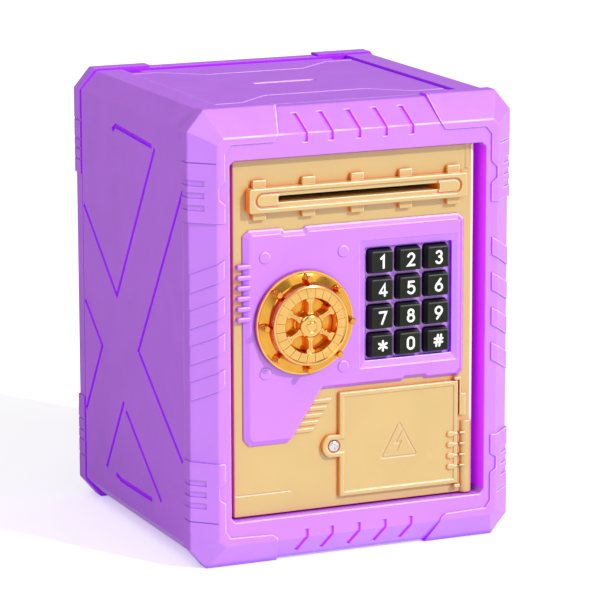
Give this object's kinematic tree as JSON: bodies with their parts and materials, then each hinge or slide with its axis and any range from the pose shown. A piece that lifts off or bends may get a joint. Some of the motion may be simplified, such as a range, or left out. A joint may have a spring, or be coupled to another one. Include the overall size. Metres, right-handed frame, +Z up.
{
  "type": "toy safe coin bank",
  "caption": "Toy safe coin bank: chamfered case, hinged gold door with dial latch, keypad, note feeder and battery cover, and a coin slot in the top.",
  "frame": {"origin": "on the floor, under the middle of the whole object's footprint", "axes": "+Z up, -Y out of the door's face, +X to the right of a viewer who faces the door"},
  "size_m": [0.14, 0.142, 0.1843],
  "materials": {
    "purple_plastic": "satin moulded",
    "gold_plastic": "satin moulded, pearl gold",
    "gold_plating": "vacuum plated, polished",
    "charcoal_plastic": "fine satin",
    "steel": "zinc plated",
    "rubber": "matt",
    "circuit_board": "solder mask",
    "black_plastic": "fine matt",
    "contact_metal": "nickel plated",
    "cell_wrap": "printed sleeve, plain",
    "nylon": "natural nylon"
  },
  "bodies": {
    "casing": {"front_frame": "purple_plastic", "body_shell": "purple_plastic", "top_panel": "purple_plastic", "rear_cover": "purple_plastic", "rear_screw_1": "steel", "rear_screw_2": "steel", "rear_screw_3": "steel", "rear_screw_4": "steel", "hinge_pin_lower": "steel", "hinge_pin_upper": "steel"},
    "door": {"door_panel": "gold_plastic", "door_back": "gold_plastic", "door_screw_1": "steel", "door_screw_2": "steel", "door_screw_3": "steel", "door_screw_4": "steel", "slot_bezel": "gold_plastic", "fascia": "purple_plastic", "key_membrane": "rubber", "keypad_board": "circuit_board", "control_board": "circuit_board", "speaker": "black_plastic", "solenoid_body": "black_plastic", "feeder_frame": "nylon", "feeder_motor": "steel", "battery_cell_1": "cell_wrap", "battery_cell_2": "cell_wrap", "battery_cell_3": "cell_wrap", "battery_spring_1": "contact_metal", "battery_spring_2": "contact_metal", "battery_spring_3": "contact_metal", "contact_plate_1": "contact_metal", "contact_plate_2": "contact_metal", "contact_plate_3": "contact_metal"},
    "battery_cover": {"battery_cover": "gold_plastic"},
    "cover_screw": {"battery_cover_screw": "steel"},
    "dial": {"dial": "gold_plating", "dial_shaft": "steel", "latch_pinion": "nylon"},
    "latch_bolt": {"latch_bolt": "steel"},
    "lock_plunger": {"solenoid_plunger": "steel"},
    "drive_roller": {"drive_roller": "rubber", "drive_shaft": "steel", "roller_gear": "nylon"},
    "pinch_roller": {"pinch_roller": "rubber"},
    "motor_shaft": {"motor_pinion": "nylon"},
    "key_1": {"key_1": "charcoal_plastic"},
    "key_2": {"key_2": "charcoal_plastic"},
    "key_3": {"key_3": "charcoal_plastic"},
    "key_4": {"key_4": "charcoal_plastic"},
    "key_5": {"key_5": "charcoal_plastic"},
    "key_6": {"key_6": "charcoal_plastic"},
    "key_7": {"key_7": "charcoal_plastic"},
    "key_8": {"key_8": "charcoal_plastic"},
    "key_9": {"key_9": "charcoal_plastic"},
    "key_star": {"key_star": "charcoal_plastic"},
    "key_0": {"key_0": "charcoal_plastic"},
    "key_hash": {"key_hash": "charcoal_plastic"}
  },
  "joints": [
    {"name": "door_hinge", "type": "hinge", "parent": "casing", "child": "door", "pos_m": [0.049, -0.05835, 0.092], "axis": [0, 0, 1], "range_deg": [0, 95]},
    {"name": "battery_cover_hinge", "type": "hinge", "parent": "door", "child": "battery_cover", "pos_m": [0.0442, -0.0607, 0.0462], "axis": [0, 0, 1], "range_deg": [0, 50]},
    {"name": "cover_screw_turn", "type": "hinge", "parent": "battery_cover", "child": "cover_screw", "pos_m": [-0.01, -0.06155, 0.0459], "axis": [0, 1, 0], "continuous": true},
    {"name": "dial_turn", "type": "hinge", "parent": "door", "child": "dial", "pos_m": [-0.0235, -0.06455, 0.098], "axis": [0, 1, 0], "range_deg": [0, 90]},
    {"name": "latch_slide", "type": "slide", "parent": "door", "child": "latch_bolt", "axis": [-1, 0, 0], "range_m": [0, 0.0086]},
    {"name": "lock_plunger_slide", "type": "slide", "parent": "door", "child": "lock_plunger", "axis": [0, 0, 1], "range_m": [0, 0.0024]},
    {"name": "drive_roller_spin", "type": "hinge", "parent": "door", "child": "drive_roller", "pos_m": [0, -0.04505, 0.1419], "axis": [-1, 0, 0], "continuous": true},
    {"name": "pinch_roller_spin", "type": "hinge", "parent": "door", "child": "pinch_roller", "pos_m": [0, -0.04505, 0.152], "axis": [-1, 0, 0], "continuous": true},
    {"name": "motor_spin", "type": "hinge", "parent": "door", "child": "motor_shaft", "pos_m": [0.0373, -0.04005, 0.1288], "axis": [-1, 0, 0], "continuous": true},
    {"name": "key_1_press", "type": "slide", "parent": "door", "child": "key_1", "axis": [0, 1, 0], "range_m": [0, 0.0012], "stiffness_N_per_m": 400},
    {"name": "key_2_press", "type": "slide", "parent": "door", "child": "key_2", "axis": [0, 1, 0], "range_m": [0, 0.0012], "stiffness_N_per_m": 400},
    {"name": "key_3_press", "type": "slide", "parent": "door", "child": "key_3", "axis": [0, 1, 0], "range_m": [0, 0.0012], "stiffness_N_per_m": 400},
    {"name": "key_4_press", "type": "slide", "parent": "door", "child": "key_4", "axis": [0, 1, 0], "range_m": [0, 0.0012], "stiffness_N_per_m": 400},
    {"name": "key_5_press", "type": "slide", "parent": "door", "child": "key_5", "axis": [0, 1, 0], "range_m": [0, 0.0012], "stiffness_N_per_m": 400},
    {"name": "key_6_press", "type": "slide", "parent": "door", "child": "key_6", "axis": [0, 1, 0], "range_m": [0, 0.0012], "stiffness_N_per_m": 400},
    {"name": "key_7_press", "type": "slide", "parent": "door", "child": "key_7", "axis": [0, 1, 0], "range_m": [0, 0.0012], "stiffness_N_per_m": 400},
    {"name": "key_8_press", "type": "slide", "parent": "door", "child": "key_8", "axis": [0, 1, 0], "range_m": [0, 0.0012], "stiffness_N_per_m": 400},
    {"name": "key_9_press", "type": "slide", "parent": "door", "child": "key_9", "axis": [0, 1, 0], "range_m": [0, 0.0012], "stiffness_N_per_m": 400},
    {"name": "key_star_press", "type": "slide", "parent": "door", "child": "key_star", "axis": [0, 1, 0], "range_m": [0, 0.0012], "stiffness_N_per_m": 400},
    {"name": "key_0_press", "type": "slide", "parent": "door", "child": "key_0", "axis": [0, 1, 0], "range_m": [0, 0.0012], "stiffness_N_per_m": 400},
    {"name": "key_hash_press", "type": "slide", "parent": "door", "child": "key_hash", "axis": [0, 1, 0], "range_m": [0, 0.0012], "stiffness_N_per_m": 400}
  ],
  "couplings": [
    {"joint": "latch_slide", "follows": "dial_turn", "m_per_rad": 0.0054},
    {"joint": "pinch_roller_spin", "follows": "drive_roller_spin", "ratio": -1.7143},
    {"joint": "motor_spin", "follows": "drive_roller_spin", "ratio": -3.6}
  ]
}
